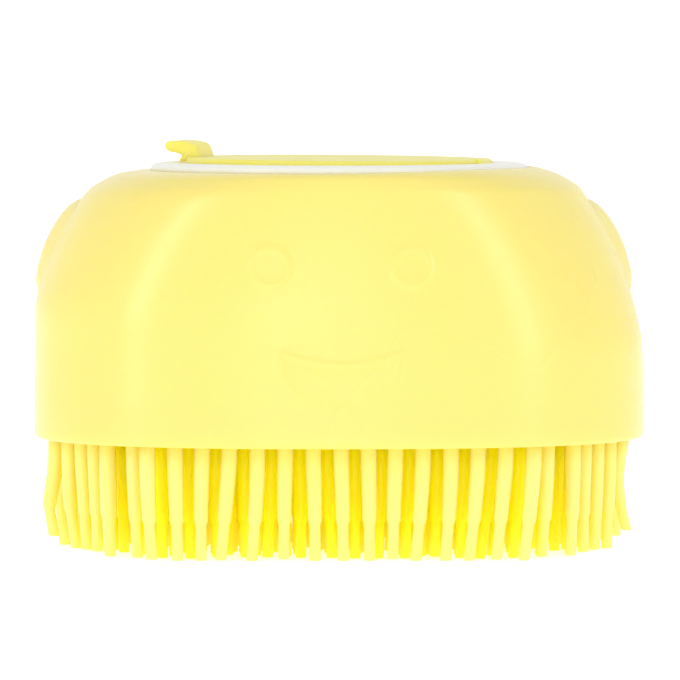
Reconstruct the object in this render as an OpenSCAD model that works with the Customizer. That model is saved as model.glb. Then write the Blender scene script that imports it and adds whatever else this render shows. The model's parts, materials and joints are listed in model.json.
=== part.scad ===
// Silicone bath brush for pets, with a reservoir for shampoo.
// A soft squeeze shell stands on a pad of bristles. Shampoo is filled in through a collar on top,
// which a plug lid closes, and squeezing the shell drives it out through small holes in the pad.
// Millimetres. +Z is up, -Y is the front and +X is the right-hand grip.
// The origin is under the middle of the brush, in the plane of the bristle tips.

/* [Shell] */
// Width at the rim, from grip side to grip side
shell_w = 80; // [78:1:84]
// Depth at the rim, from front to back
shell_d = 58; // [58:1:62]
// Height of the rim's lower edge above the bristle tips
rim_z = 14.8; // [14:0.2:16]
// Roundness of the rim's outline: 2 is an ellipse, more is squarer
rim_power = 2.5; // [2.3:0.1:2.8]
// How far each grip pad stands out of the shell
grip_rise = 1.5; // [0:0.1:1.8]
// Length of a grip pad, front to back
grip_l = 11; // [9:0.5:14]

/* [Brush pad] */
// Distance between neighbouring bristles
bristle_pitch = 3.54; // [3.4:0.02:3.6]
// Number of bristles in the longest row, along the width
row_max = 22; // [18:2:22]
// Number of rows on each side of the longest row
side_rows = 7; // [5:1:7]
// Diameter of a bristle's stem at its root
stem_d = 2.15; // [2:0.05:2.3]
// Diameter of the stem where it steps down to the tip
stem_end_d = 1.85; // [1.75:0.05:2]
// Diameter of a bristle's thin tip
tip_d = 1.45; // [1.1:0.05:1.7]
// Length of the thin tip
tip_l = 4.6; // [3:0.2:6]
// Thickness of the pad that carries the bristles
pad_t = 3.6; // [3.2:0.2:4]
// Diameter of a shampoo outlet
outlet_d = 1.4; // [1:0.1:1.6]

/* [Filler] */
// Outer diameter of the collar's flange
flange_d = 49.5; // [48:0.5:50]
// Diameter of the filling hole
mouth_d = 33.2; // [31:0.2:34]
// Diameter of the lid
lid_d = 40; // [39.5:0.5:41]
// Thickness of the lid's plate
lid_t = 1; // [0.7:0.05:1.1]
// Direction in which the lid's hinge lies, from the right-hand grip
hinge_azimuth = -13; // [-30:1:30]
// Width of the tether that hinges the lid
tether_w = 8; // [6:1:9]
// Width of the pull tab
tab_w = 8.5; // [6:0.5:10]

/* [Hidden] */
$fn = 64;

silicone = [1.00, 0.95, 0.45];
deep_silicone = [1.00, 0.92, 0.30];
white_plastic = [0.96, 0.94, 0.88];

// Heights that follow the collar seat
seat_z = 49.5;
seat_r = 26;
lip_top_z = 48.8;
lip_bottom_z = 46.5;
flange_top_z = 50.6;
lid_seat_z = 50.3;

// Side view of the shell: [share of the run from the seat's radius to the rim, height]
outer_side = [
    [1, 19], [0.99, 26], [0.97, 30], [0.93, 33.2], [0.857, 36.4], [0.743, 40.3],
    [0.62, 43.6], [0.46, 46.9], [0.335, 48.2], [0.2, 49.1], [0, 49.6]
];
// The same for the inside of the dome
inner_side = [
    [1, 19], [0.985, 28.5], [0.92, 33], [0.80, 37], [0.62, 41], [0.4, 44.4], [0.22, 46], [0, 46.5]
];
inner_seat_r = 25;
wall = 2.5;
depth_power = 0.65;

// Rim: a thin skirt round the pad, with a rounded lower edge
skirt_t = 1.3;
edge_r = 0.5;
edge_steps = 3;
pad_recess = 0.8;
pad_gap = 0.1;
pad_bottom_z = rim_z + pad_recess;
pad_top_z = pad_bottom_z + pad_t;

// Grip pads: middle height, half height, squareness of the outline and softness of the edge
grip_z = 39.85;
grip_half_h = 6.15;
grip_edge = 1.6;
grip_softness = 0.5;

// Collar, lock ring, lid and tether
flange_r = flange_d / 2;
flange_bevel = 1.5;
lid_seat_gap = 0.7;
lid_seat_slope = 0.5;
flange_edge_t = 0.4;
seat_gap = 0.15;
mouth_chamfer = 0.4;
neck_t = 1.6;
neck_bottom_z = 42.9;
mouth_r = mouth_d / 2;
neck_r = mouth_r + neck_t;
hole_gap = 0.2;
hub_r = 22.8;
fit_gap = 0.05;
lock_r = 23.2;
lock_t = 1.9;
lock_chamfer = 0.5;
snap_rise = 0.6;
snap_slope = 0.4;
plug_r = mouth_r - 0.25;
plug_t = 1.5;
plug_bottom_z = 47.9;
plug_chamfer = 0.35;
bead_r = mouth_r - 0.1;
bead_z = 49.2;
bead_half_h = 0.5;
lid_edge_r = 0.35;
hinge_x = 19.35;
lid_clearance = 0.15;
tether_t = 1.1;
tether_head_t = 0.8;
tether_head_r = 22.4;
tether_head_w = tether_w + 1;
lid_top_z = lid_seat_z + lid_t;

// Bristle lean: how far a tip stands to the right of its root, by the root's place along the width
tip_shift = [
    [-38, 0.9], [-34, 1.2], [-31, 0.7], [-25, 0.4], [-21, -0.2], [-14, -0.3], [0, 0], [10, -0.4],
    [18, -0.9], [25, -1.3], [28, -0.8], [31.5, -0.2], [35, -0.4], [38, -0.6]
];
tip_scatter = 0.35;
// The end bristles of the fifth row either side of the longest stand out to fill the oval's corners
corner_row = 5;
corner_shift = 1.7;
step_h = 0.6;
root_t = 0.5;
row_pitch = bristle_pitch * sqrt(3) / 2;
outlet_columns = 3;

// Angles round the shell, set closer together at the grips
around = 88;
grip_focus = 12;
angles = [for (i = [0 : around - 1]) 360 * i / around - grip_focus * sin(720 * i / around)];
steps_outer = 20;
steps_inner = 10;

// A point of a Catmull-Rom curve through the list p, at u from 0 to 1
function curve_at(p, u) =
    let (
        last = len(p) - 1,
        i = min(floor(u * last), last - 1),
        t = u * last - i,
        a = p[max(i - 1, 0)],
        b = p[i],
        c = p[i + 1],
        d = p[min(i + 2, last)]
    )
    0.5 * (2 * b + (c - a) * t + (2 * a - 5 * b + 4 * c - d) * t * t + (3 * b - a - 3 * c + d) * t * t * t);

// Radius of a superellipse of half width a, half depth b and power n, seen at angle phi
function oval_r(a, b, n, phi) = pow(pow(abs(cos(phi)) / a, n) + pow(abs(sin(phi)) / b, n), -1 / n);

// One level outline at height z, as 3-D points
function level(a, b, n, z) = [
    for (phi = angles)
        let (r = oval_r(a, b, n, phi))
        [r * cos(phi), r * sin(phi), z]
];

// The outline at a share of the way from a round top of radius r0 to the rim a1 by b1
function shell_level(share, z, r0, a1, b1) = level(
    r0 + (a1 - r0) * share,
    r0 + (b1 - r0) * pow(max(share, 0), depth_power),
    2 + (rim_power - 2) * share,
    z
);

// Rise of a grip pad at a place on the side of the shell, 0 off the pad
function grip_at(y, z) =
    let (
        across = pow(abs(y) * 2 / grip_l, grip_edge * 2),
        up = pow(abs(z - grip_z) / grip_half_h, grip_edge * 2),
        inside = max(0, 1 - across - up),
        taper = 0.6 + 0.4 * min(1, max(0, (z - grip_z + grip_half_h) / grip_half_h))
    )
    grip_rise * taper * pow(inside, grip_softness);

function with_grips(ring) = [
    for (p = ring) abs(p[0]) > seat_r * 0.9 ? p + [sign(p[0]) * grip_at(p[1], p[2]), 0, 0] : p
];

half_w = shell_w / 2;
half_d = shell_d / 2;

shell_rings = [
    // Lower edge of the skirt, rounded, then the outer wall up to the seat
    for (k = [0 : edge_steps])
        let (turn = 90 * k / edge_steps, inset = edge_r * (1 - sin(turn)))
        level(half_w - inset, half_d - inset, rim_power, rim_z + edge_r * (1 - cos(turn))),
    for (k = [0 : steps_outer])
        let (p = curve_at(outer_side, k / steps_outer))
        with_grips(shell_level(p[0], p[1], seat_r, half_w, half_d)),
    // Flat seat for the flange, step down to the lip, hole, and the lip's underside
    level(flange_r + seat_gap, flange_r + seat_gap, 2, seat_z),
    level(hub_r + hole_gap, hub_r + hole_gap, 2, seat_z),
    level(hub_r + hole_gap, hub_r + hole_gap, 2, lip_top_z),
    level(neck_r + hole_gap, neck_r + hole_gap, 2, lip_top_z),
    level(neck_r + hole_gap, neck_r + hole_gap, 2, lip_bottom_z),
    // Inside of the dome, down to the ledge over the pad
    for (k = [0 : steps_inner])
        let (p = curve_at(inner_side, 1 - k / steps_inner))
        shell_level(p[0], max(p[1], pad_top_z), inner_seat_r, half_w - wall, half_d - wall),
    // Ledge and the skirt's inner wall
    level(half_w - skirt_t, half_d - skirt_t, rim_power, pad_top_z),
    level(half_w - skirt_t, half_d - skirt_t, rim_power, rim_z)
];

// A closed skin over a list of rings that ends where it starts
module skin(rings) {
    rows = len(rings);
    polyhedron(
        points = [for (ring = rings) for (p = ring) p],
        faces = [
            for (s = [0 : rows - 1])
                for (i = [0 : around - 1])
                    for (half = [0, 1])
                        let (
                            here = s * around,
                            above = ((s + 1) % rows) * around,
                            j = (i + 1) % around
                        )
                        half == 0 ? [here + i, above + i, above + j] : [here + i, above + j, here + j]
        ]
    );
}

module squeeze_shell() {
    color(silicone) skin(shell_rings);
}

// One bristle, hanging down from its root at z = 0, with its own length
module bristle(length) {
    root_r = stem_d / 2;
    end_r = stem_end_d / 2;
    tip_r = tip_d / 2;
    rotate_extrude($fn = 20)
        polygon([
            [0, root_t], [root_r, root_t], [root_r, 0], [end_r, -length + tip_l + step_h],
            [tip_r, -length + tip_l], [tip_r, -length], [0, -length]
        ]);
}

// A repeatable scatter from -1 to 1 for bristle i of row j, none on the middle line
function scatter(i, j, x) = sin(137.5 * i * i + 71.3 * j * j * i + 29.7 * j) * min(1, abs(x) / 12);

module bristles() {
    for (j = [-side_rows : side_rows]) {
        count = row_max - abs(j);
        for (i = [0 : count - 1]) {
            outward = abs(j) == corner_row ? (i == count - 1 ? corner_shift : i == 0 ? -corner_shift : 0) : 0;
            x = (i - (count - 1) / 2) * bristle_pitch + outward;
            shift = lookup(x, tip_shift) + tip_scatter * scatter(i, j, x);
            shift_y = tip_scatter * scatter(i + 5, j + 3, x);
            reach = norm([shift, shift_y]);
            lean = atan(reach / pad_bottom_z);
            length = (pad_bottom_z - tip_d / 2 * sin(lean)) / cos(lean);
            translate([x, j * row_pitch, pad_bottom_z])
                rotate([0, 0, atan2(shift_y, shift)])
                    rotate([0, -lean, 0])
                        bristle(length);
        }
    }
}

// Outlets in three rows across the middle, each in the centre of a triangle of bristles
module outlets() {
    past = 0.5;
    for (j = [-1 : 1]) {
        count = 2 * outlet_columns + (j == 0 ? 1 : 2);
        for (i = [0 : count - 1])
            translate([
                (i - (count - 1) / 2) * bristle_pitch * 2,
                (2 * j + 1 / 3) * row_pitch,
                pad_bottom_z - past
            ])
                cylinder(d = outlet_d, h = pad_t + 2 * past, $fn = 24);
    }
}

module brush_pad() {
    outline = level(half_w - skirt_t - pad_gap, half_d - skirt_t - pad_gap, rim_power, 0);
    color(deep_silicone)
        difference() {
            union() {
                translate([0, 0, pad_bottom_z])
                    linear_extrude(height = pad_t)
                        polygon([for (p = outline) [p[0], p[1]]]);
                bristles();
            }
            outlets();
        }
}

// Collar: flange on the shell, hub in its step, and a neck that hangs into the reservoir
module filler_collar() {
    snap_z = lip_bottom_z - lock_t - fit_gap;
    edge_z = seat_z + flange_edge_t;
    color(white_plastic)
        difference() {
            rotate_extrude($fn = 120)
                polygon(concat(
                    [
                        [mouth_r, neck_bottom_z], [neck_r, neck_bottom_z],
                        [neck_r + snap_rise, snap_z - snap_slope], [neck_r + snap_rise, snap_z],
                        [neck_r, snap_z], [neck_r, lip_top_z], [hub_r, lip_top_z],
                        [hub_r, seat_z], [flange_r, seat_z]
                    ],
                    [
                        for (a = [0 : 15 : 90]) [
                            flange_r - flange_bevel * (1 - cos(a)),
                            edge_z + (flange_top_z - edge_z) * sin(a)
                        ]
                    ],
                    [
                        [lid_d / 2 + lid_seat_gap + lid_seat_slope, flange_top_z],
                        [lid_d / 2 + lid_seat_gap, lid_seat_z], [mouth_r + mouth_chamfer, lid_seat_z],
                        [mouth_r, lid_seat_z - mouth_chamfer]
                    ]
                ));
            rotate([0, 0, hinge_azimuth]) {
                // Slot that the tether comes up through
                translate([hinge_x - tether_t / 2 - fit_gap, -tether_w / 2 - fit_gap, lip_top_z - 1])
                    cube([tether_t + 2 * fit_gap, tether_w + 2 * fit_gap, 4]);
                // Pocket for the tether's head, open below
                translate([neck_r + fit_gap, -tether_head_w / 2 - fit_gap, lip_top_z - 1])
                    cube([
                        tether_head_r + fit_gap - neck_r,
                        tether_head_w + 2 * fit_gap,
                        1 + tether_head_t
                    ]);
            }
        }
}

// Ring under the shell's lip that snaps over the neck and clamps the lip to the flange
module collar_lock_ring() {
    slots = 6;
    slot_w = 1.5;
    color(white_plastic)
        translate([0, 0, lip_bottom_z - lock_t])
            difference() {
                rotate_extrude($fn = 120)
                    polygon([
                        [neck_r + fit_gap, 0], [lock_r - lock_chamfer, 0], [lock_r, lock_chamfer],
                        [lock_r, lock_t], [neck_r + fit_gap, lock_t]
                    ]);
                for (k = [0 : slots - 1])
                    rotate([0, 0, 360 * k / slots])
                        translate([neck_r - 1, -slot_w / 2, -1])
                            cube([3, slot_w, lock_t + 2]);
            }
}

// Lid in its own directions: hinge along +X, pull tab along -X
module lid_body() {
    lid_r = lid_d / 2;
    flat_x = hinge_x - lid_clearance;
    notch_x = hinge_x - tether_t / 2 - lid_clearance;
    difference() {
        rotate_extrude($fn = 120)
            polygon(concat(
                [[0, lid_seat_z], [plug_r - plug_t, lid_seat_z], [plug_r - plug_t, plug_bottom_z]],
                [
                    [plug_r - plug_chamfer, plug_bottom_z], [plug_r, plug_bottom_z + plug_chamfer],
                    [plug_r, bead_z - bead_half_h], [bead_r, bead_z], [plug_r, bead_z + bead_half_h],
                    [plug_r, lid_seat_z], [lid_r, lid_seat_z]
                ],
                [
                    for (a = [0 : 30 : 90])
                        [lid_r - lid_edge_r * (1 - cos(a)), lid_top_z - lid_edge_r * (1 - sin(a))]
                ],
                [[0, lid_top_z]]
            ));
        // Straight edge along the hinge, and the notch that the tether's web fills
        translate([flat_x, -lid_r, lid_seat_z - 1])
            cube([lid_r, lid_d, 4]);
        translate([notch_x, -tether_w / 2 - lid_clearance, lid_seat_z - 1])
            cube([lid_r, tether_w + 2 * lid_clearance, 4]);
    }
}

// Pull tab: a stem on the lid's edge with a lip that turns outwards
module pull_tab() {
    base_z = flange_top_z + 0.1;
    translate([0, tab_w / 2, 0])
        rotate([90, 0, 0])
            linear_extrude(height = tab_w)
                polygon([
                    [-17.7, base_z], [-18.45, 52.8], [-18.8, 53.05], [-19.8, 53.3], [-21.8, 53.4],
                    [-22.4, 53.2], [-22.6, 52.8], [-22.4, 52.25], [-21.7, 51.9], [-20.75, 51.75],
                    [-20.35, 51.55], [-20.3, 51.3], [-20.5, 50.95], [-20.65, base_z]
                ]);
}

module filler_lid() {
    color(silicone)
        rotate([0, 0, hinge_azimuth])
            union() {
                lid_body();
                pull_tab();
            }
}

// Tether: a T-shaped head under the flange and a web up to the fold line
module lid_tether() {
    color(silicone)
        rotate([0, 0, hinge_azimuth])
            union() {
                translate([neck_r + 2 * fit_gap, -tether_head_w / 2, lip_top_z])
                    cube([tether_head_r - neck_r - 2 * fit_gap, tether_head_w, tether_head_t]);
                translate([hinge_x - tether_t / 2, -tether_w / 2, lip_top_z])
                    cube([tether_t, tether_w, lid_top_z - lid_clearance - lip_top_z]);
            }
}

squeeze_shell();
brush_pad();
filler_collar();
collar_lock_ring();
filler_lid();
lid_tether();
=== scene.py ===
# %% [markdown]
# # A silicone bath brush for pets
#
# The brush is a soft yellow dome full of shampoo, standing on a field of stepped bristles. A white
# collar on top holds the filling hole, and a plug lid with a pull tab closes it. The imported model
# holds the sizes, the collision and the lid's hinge. This file dresses it: every soft piece is made
# again as a smooth surface worked out with numpy, and every piece gets a procedural material.

import json
import math

import bpy
import numpy as np
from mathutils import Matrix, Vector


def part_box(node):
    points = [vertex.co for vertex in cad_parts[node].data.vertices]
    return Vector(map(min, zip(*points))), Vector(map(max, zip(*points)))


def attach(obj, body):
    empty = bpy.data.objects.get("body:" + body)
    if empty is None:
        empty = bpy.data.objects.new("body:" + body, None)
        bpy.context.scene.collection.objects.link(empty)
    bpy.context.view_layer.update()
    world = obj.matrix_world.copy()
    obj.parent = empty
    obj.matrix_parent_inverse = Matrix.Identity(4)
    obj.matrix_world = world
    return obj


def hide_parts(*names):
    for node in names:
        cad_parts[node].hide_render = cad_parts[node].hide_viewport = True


MM = 0.001
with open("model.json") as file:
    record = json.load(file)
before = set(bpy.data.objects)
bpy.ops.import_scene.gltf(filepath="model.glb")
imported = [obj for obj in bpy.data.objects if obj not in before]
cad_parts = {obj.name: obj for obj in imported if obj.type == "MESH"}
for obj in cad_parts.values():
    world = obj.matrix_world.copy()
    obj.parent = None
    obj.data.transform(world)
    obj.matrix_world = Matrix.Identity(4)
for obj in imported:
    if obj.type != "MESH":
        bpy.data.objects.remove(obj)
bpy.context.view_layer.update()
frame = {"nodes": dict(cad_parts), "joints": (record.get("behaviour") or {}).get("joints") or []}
lid_hinge = frame["joints"][0]

# %% [markdown]
# ## Sizes
#
# The sizes repeat the driving dimensions of the solid model, in millimetres, so that each surface
# lies where its solid lies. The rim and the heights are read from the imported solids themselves.

# %% Driving sizes
shell_low, shell_high = (np.array(corner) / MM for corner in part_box("squeeze_shell"))
pad_high = np.array(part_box("brush_pad")[1]) / MM
flange_high = np.array(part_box("filler_collar")[1]) / MM

HALF_W, HALF_D = shell_high[0], shell_high[1]
RIM_Z = shell_low[2]
RIM_POWER = 2.5
SEAT_R, SEAT_Z = 26.0, 49.5
LIP_TOP_Z, LIP_BOTTOM_Z = 48.8, 46.5
WALL, SKIRT_T, EDGE_R = 2.5, 1.3, 0.5
PAD_BOTTOM_Z, PAD_TOP_Z = RIM_Z + 0.8, pad_high[2]
FLANGE_R, FLANGE_TOP_Z = flange_high[0], flange_high[2]
MOUTH_R, NECK_R, HUB_R = 16.6, 18.2, 22.8
LID_R, LID_SEAT_Z = 20.0, 50.3
LID_TOP_Z = LID_SEAT_Z + 1.0
HINGE_TURN = math.atan2(lid_hinge["pos_m"][1], lid_hinge["pos_m"][0])
HINGE_X = math.hypot(*lid_hinge["pos_m"][:2]) / MM
print(f"rim {2 * HALF_W:.1f} by {2 * HALF_D:.1f} mm at z {RIM_Z:.1f}")
print(f"lid hinge at {math.degrees(HINGE_TURN):.1f} deg from the right-hand side")

# %% [markdown]
# ## The camera
#
# The camera stands about three quarters of a metre in front of the brush and a little above its rim,
# with a long lens, so that the rim and the collar show as flat curves. Working out the focal length
# from the frame's width keeps the brush at its size in the picture.

# %% Camera
PICTURE_PX = 680
CAMERA_DISTANCE = 0.750
CAMERA_HEIGHT = 0.0663
CAMERA_TURN = math.radians(-0.6)
CAMERA_PITCH = 0.0521
FOCAL_PX = 5707.0
CENTRE_PX = 338.9
SENSOR_MM = 36.0


def make_camera():
    """A camera CAMERA_DISTANCE from the brush's axis, turned by CAMERA_TURN round it, tipped down."""
    data = bpy.data.cameras.new("studio_camera")
    data.sensor_width = SENSOR_MM
    data.lens = FOCAL_PX / PICTURE_PX * SENSOR_MM
    data.shift_x = (PICTURE_PX / 2 - CENTRE_PX) / PICTURE_PX
    data.clip_start, data.clip_end = 0.05, 20.0
    camera = bpy.data.objects.new("studio_camera", data)
    camera.location = (
        CAMERA_DISTANCE * math.sin(CAMERA_TURN),
        -CAMERA_DISTANCE * math.cos(CAMERA_TURN),
        CAMERA_HEIGHT,
    )
    camera.rotation_euler = (math.pi / 2 - CAMERA_PITCH, 0, CAMERA_TURN)
    bpy.context.scene.collection.objects.link(camera)
    bpy.context.scene.camera = camera
    return camera


camera = make_camera()
print(f"camera: {camera.data.lens:.0f} mm lens, {math.degrees(CAMERA_PITCH):.1f} deg down")

# %% [markdown]
# ## Studio
#
# A plain white floor runs out of sight, and the world is white too. The light is a soft dome with a
# low wide lamp in front, which shines in between the bristles, and a tall one at each side, which
# draw the two long soft highlights on the dome's corners. The floor is a table of milk glass that is
# lit from below: it glows a little of its own, so light also comes up into the bristles, and it still
# takes the shadow. To the camera it is brighter again, so that it stays white. Light may bounce many
# times, because the strong yellow between the bristles comes partly from light that went from one to
# the next; the rest of it is painted shade in the bristles' colour.

# %% Floor, world and lamps
def link_nodes(tree, *pairs):
    """Joins each (from socket, to socket) pair."""
    for start, end in pairs:
        tree.links.new(start, end)


def seen_directly(tree):
    """1 for rays from the camera, and for reflected and refracted views of the same thing."""
    path = tree.nodes.new("ShaderNodeLightPath")
    first = tree.nodes.new("ShaderNodeMath")
    second = tree.nodes.new("ShaderNodeMath")
    first.operation = second.operation = "MAXIMUM"
    link_nodes(
        tree,
        (path.outputs["Is Camera Ray"], first.inputs[0]),
        (path.outputs["Is Glossy Ray"], first.inputs[1]),
        (first.outputs[0], second.inputs[0]),
        (path.outputs["Is Transmission Ray"], second.inputs[1]),
    )
    return second.outputs[0]


WORLD_LIGHT, WORLD_SEEN = 0.71, 1.06
FLOOR_GLOW, FLOOR_SEEN = 0.47, 0.6
FLOOR_HALF, FLOOR_GREY = 8.0, 0.95


def make_world():
    """White to the camera, and a soft even dome of WORLD_LIGHT to everything else."""
    world = bpy.data.worlds.new("studio_dome")
    world.use_nodes = True
    tree = world.node_tree
    background = tree.nodes["Background"]
    seen = seen_directly(tree)
    strength = tree.nodes.new("ShaderNodeMapRange")
    strength.inputs["To Min"].default_value = WORLD_LIGHT
    strength.inputs["To Max"].default_value = WORLD_SEEN
    link_nodes(
        tree,
        (seen, strength.inputs["Value"]),
        (strength.outputs["Result"], background.inputs["Strength"]),
    )
    background.inputs["Color"].default_value = (1, 1, 1, 1)
    bpy.context.scene.world = world


def make_floor():
    """A large flat floor at z = 0 that looks white and takes shadows."""
    half = FLOOR_HALF
    corners = [(-half, -half, 0), (half, -half, 0), (half, half, 0), (-half, half, 0)]
    mesh = bpy.data.meshes.new("studio_floor")
    mesh.from_pydata(corners, [], [(0, 1, 2, 3)])
    floor = bpy.data.objects.new("studio_floor", mesh)
    bpy.context.scene.collection.objects.link(floor)
    material = bpy.data.materials.new("white_floor")
    material.use_nodes = True
    tree = material.node_tree
    tree.nodes.clear()
    diffuse = tree.nodes.new("ShaderNodeBsdfDiffuse")
    glow = tree.nodes.new("ShaderNodeEmission")
    both = tree.nodes.new("ShaderNodeAddShader")
    out = tree.nodes.new("ShaderNodeOutputMaterial")
    lift = tree.nodes.new("ShaderNodeMath")
    lift.operation = "MULTIPLY_ADD"
    lift.inputs[1].default_value = FLOOR_SEEN - FLOOR_GLOW
    lift.inputs[2].default_value = FLOOR_GLOW
    seen = seen_directly(tree)
    diffuse.inputs["Color"].default_value = (FLOOR_GREY, FLOOR_GREY, FLOOR_GREY, 1)
    link_nodes(
        tree,
        (seen, lift.inputs[0]),
        (lift.outputs[0], glow.inputs["Strength"]),
        (diffuse.outputs[0], both.inputs[0]),
        (glow.outputs[0], both.inputs[1]),
        (both.outputs[0], out.inputs["Surface"]),
    )
    mesh.materials.append(material)


def make_lamp(name, place, target, width, height, watts):
    """A soft rectangular lamp at place that looks at target, its sides in metres."""
    data = bpy.data.lights.new(name, "AREA")
    data.shape = "RECTANGLE"
    data.size, data.size_y = width, height
    data.energy = watts
    lamp = bpy.data.objects.new(name, data)
    lamp.location = place
    toward = np.array(target) - np.array(place)
    lamp.rotation_euler = (
        math.acos(-toward[2] / np.linalg.norm(toward)),
        0,
        math.atan2(toward[1], toward[0]) - math.pi / 2,
    )
    bpy.context.scene.collection.objects.link(lamp)


make_world()
make_floor()
MOST_BOUNCES, DIFFUSE_BOUNCES = 24, 16
bpy.context.scene.cycles.max_bounces = MOST_BOUNCES
bpy.context.scene.cycles.diffuse_bounces = DIFFUSE_BOUNCES
LAMP_TARGET = (0, 0, 0.03)
STRIP_W, STRIP_H = 0.10, 0.9
make_lamp("low_front_softbox", (-0.15, -1.6, 0.06), LAMP_TARGET, width=0.5, height=0.12, watts=1.0)
make_lamp("left_strip", (-0.81, -0.59, 0.3), LAMP_TARGET, STRIP_W, STRIP_H, watts=2.2)
make_lamp("right_strip", (0.75, -0.66, 0.3), LAMP_TARGET, STRIP_W, STRIP_H, watts=1.9)
print("stage: floor, world and 3 soft lamps")

# %% [markdown]
# ## Surfaces from grids
#
# Every new piece is a grid of points: rings, one above the other, each with the same number of
# points. Working the grid out as one numpy array and handing it to Blender with foreach_set is fast
# and leaves no seams, because the last point of a ring joins the first.

# %% Grid helpers
def mesh_object(name, points, *face_arrays):
    """A smooth-shaded object from points in millimetres and arrays of faces, one face to a row."""
    mesh = bpy.data.meshes.new(name)
    corners = np.concatenate([faces.ravel() for faces in face_arrays]).astype(np.int32)
    counts = np.concatenate([np.full(len(faces), faces.shape[1]) for faces in face_arrays])
    starts = np.concatenate([[0], np.cumsum(counts)[:-1]]).astype(np.int32)
    mesh.vertices.add(len(points))
    mesh.vertices.foreach_set("co", (points * MM).astype(np.float32).ravel())
    mesh.loops.add(len(corners))
    mesh.loops.foreach_set("vertex_index", corners)
    mesh.polygons.add(len(counts))
    mesh.polygons.foreach_set("loop_start", starts)
    mesh.polygons.foreach_set("use_smooth", np.ones(len(counts), bool))
    mesh.update(calc_edges=True)
    mesh.validate()
    piece = bpy.data.objects.new(name, mesh)
    bpy.context.scene.collection.objects.link(piece)
    print(f"{name}: {len(points)} points, {len(counts)} faces")
    return piece


def ring_quads(rings, around, closed):
    """Corner numbers of the quads between rings, the last ring joined to the first if closed."""
    ring = np.arange(rings if closed else rings - 1)[:, None]
    step = np.arange(around)[None, :]
    here, above = ring * around, ((ring + 1) % rings) * around
    after = (step + 1) % around
    return np.stack([here + step, here + after, above + after, above + step], -1).reshape(-1, 4)


def cap_triangles(first, around, pole, upward):
    """A fan from a ring that starts at corner number first to the point numbered pole."""
    step = np.arange(around)
    here, after = first + step, first + (step + 1) % around
    fan = np.stack([here, after, np.full(around, pole)], -1)
    return fan if upward else fan[:, ::-1]


def flat_ends(rings, around):
    """One face on the first of a stack of rings, looking down, and one on the last, looking up."""
    side = np.arange(around)
    return np.stack([side[::-1], side + (rings - 1) * around])


def repeat_faces(faces, copies, points_each):
    """The same faces for each of many copies, whose points follow one another."""
    first = np.arange(copies)[:, None, None] * points_each
    return (faces[None] + first).reshape(-1, faces.shape[1])


def curve_through(points, count):
    """Catmull-Rom: count points of a smooth curve that passes through every given point."""
    p = np.asarray(points, float)
    u = np.linspace(0, len(p) - 1, count)
    i = np.minimum(u.astype(int), len(p) - 2)
    t = (u - i)[:, None]
    a, b, c, d = p[np.maximum(i - 1, 0)], p[i], p[i + 1], p[np.minimum(i + 2, len(p) - 1)]
    square, cube = 2 * a - 5 * b + 4 * c - d, 3 * b - a - 3 * c + d
    return 0.5 * (2 * b + (c - a) * t + square * t**2 + cube * t**3)


def smooth_step(x, low, high):
    """0 below low, 1 above high, and a smooth S between."""
    t = np.clip((x - low) / (high - low), 0, 1)
    return t * t * (3 - 2 * t)


# %% [markdown]
# ## The shell
#
# Seen from above, the shell is round at the collar and a rounded oval at the rim. Each level is a
# superellipse: the distance from the axis at angle phi is (|cos phi / a|^n + |sin phi / b|^n)^(-1/n),
# where a and b are the half width and half depth and n grows from 2 at the top to 2.5 at the rim.
# A side view gives a at each height. The rings go up the outside, over the lip and down the inside,
# so the skin closes on itself and has a real wall.

# %% Shell levels
OUTER_SIDE = [
    (1, 19), (0.99, 26), (0.97, 30), (0.93, 33.2), (0.857, 36.4), (0.743, 40.3),
    (0.62, 43.6), (0.46, 46.9), (0.335, 48.2), (0.2, 49.1), (0, 49.6),
]  # fmt: skip
INNER_SIDE = [
    (1, 19), (0.985, 28.5), (0.92, 33), (0.80, 37), (0.62, 41), (0.4, 44.4), (0.22, 46), (0, 46.5),
]  # fmt: skip
INNER_SEAT_R = 25.0
DEPTH_POWER = 0.65
FACE_HALF_WIDTH = 14.0
GRIP_RISE, GRIP_L, GRIP_Z, GRIP_HALF_H = 1.5, 15.0, 39.85, 5.95
GRIP_EDGE, GRIP_SOFTNESS = 3.8, 0.55
GRIP_FOOT = 0.6
AROUND_SHELL, OUTER_LEVELS, INNER_LEVELS = 480, 126, 30
FRONT_DENSITY, GRIP_DENSITY = 4.0, 3.0


def shell_angles():
    """Angles round the shell, packed closer across the front, where the face is, and at the grips."""
    fine = np.linspace(0, 2 * np.pi, 4000, endpoint=False)
    x, y = HALF_W * np.cos(fine), HALF_D * np.sin(fine)
    front = (y < 0) & (np.abs(x) < FACE_HALF_WIDTH * 1.3)
    ends = np.abs(y) < GRIP_L * 0.7
    density = np.where(front, FRONT_DENSITY, np.where(ends, GRIP_DENSITY, 1.0))
    total = np.cumsum(density)
    return np.interp(np.arange(AROUND_SHELL) / AROUND_SHELL * total[-1], total - total[0], fine)


PHI = shell_angles()


def level(a, b, power, z, phi=PHI):
    """One ring of points at height z on the superellipse of half width a and half depth b."""
    r = (np.abs(np.cos(phi) / a) ** power + np.abs(np.sin(phi) / b) ** power) ** (-1 / power)
    return np.stack([r * np.cos(phi), r * np.sin(phi), np.full_like(phi, z)], -1)


def shell_level(share, z, seat_r, half_w, half_d):
    """The ring at a share of the way from the round seat to the rim."""
    share = float(np.clip(share, 0, 1))
    return level(
        seat_r + (half_w - seat_r) * share,
        seat_r + (half_d - seat_r) * share**DEPTH_POWER,
        2 + (RIM_POWER - 2) * share,
        z,
    )


# %% [markdown]
# The grip pads are raised cushions on the two ends. With c = (1 - (y/a)^2)^2, which is 1 in the middle
# and fades smoothly towards the front and the back, the rise is c (c - |z/b|^p)^q: soft at the sides
# and steeper at its upper and lower edge. They thin out downwards, where they melt into the wall.

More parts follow.
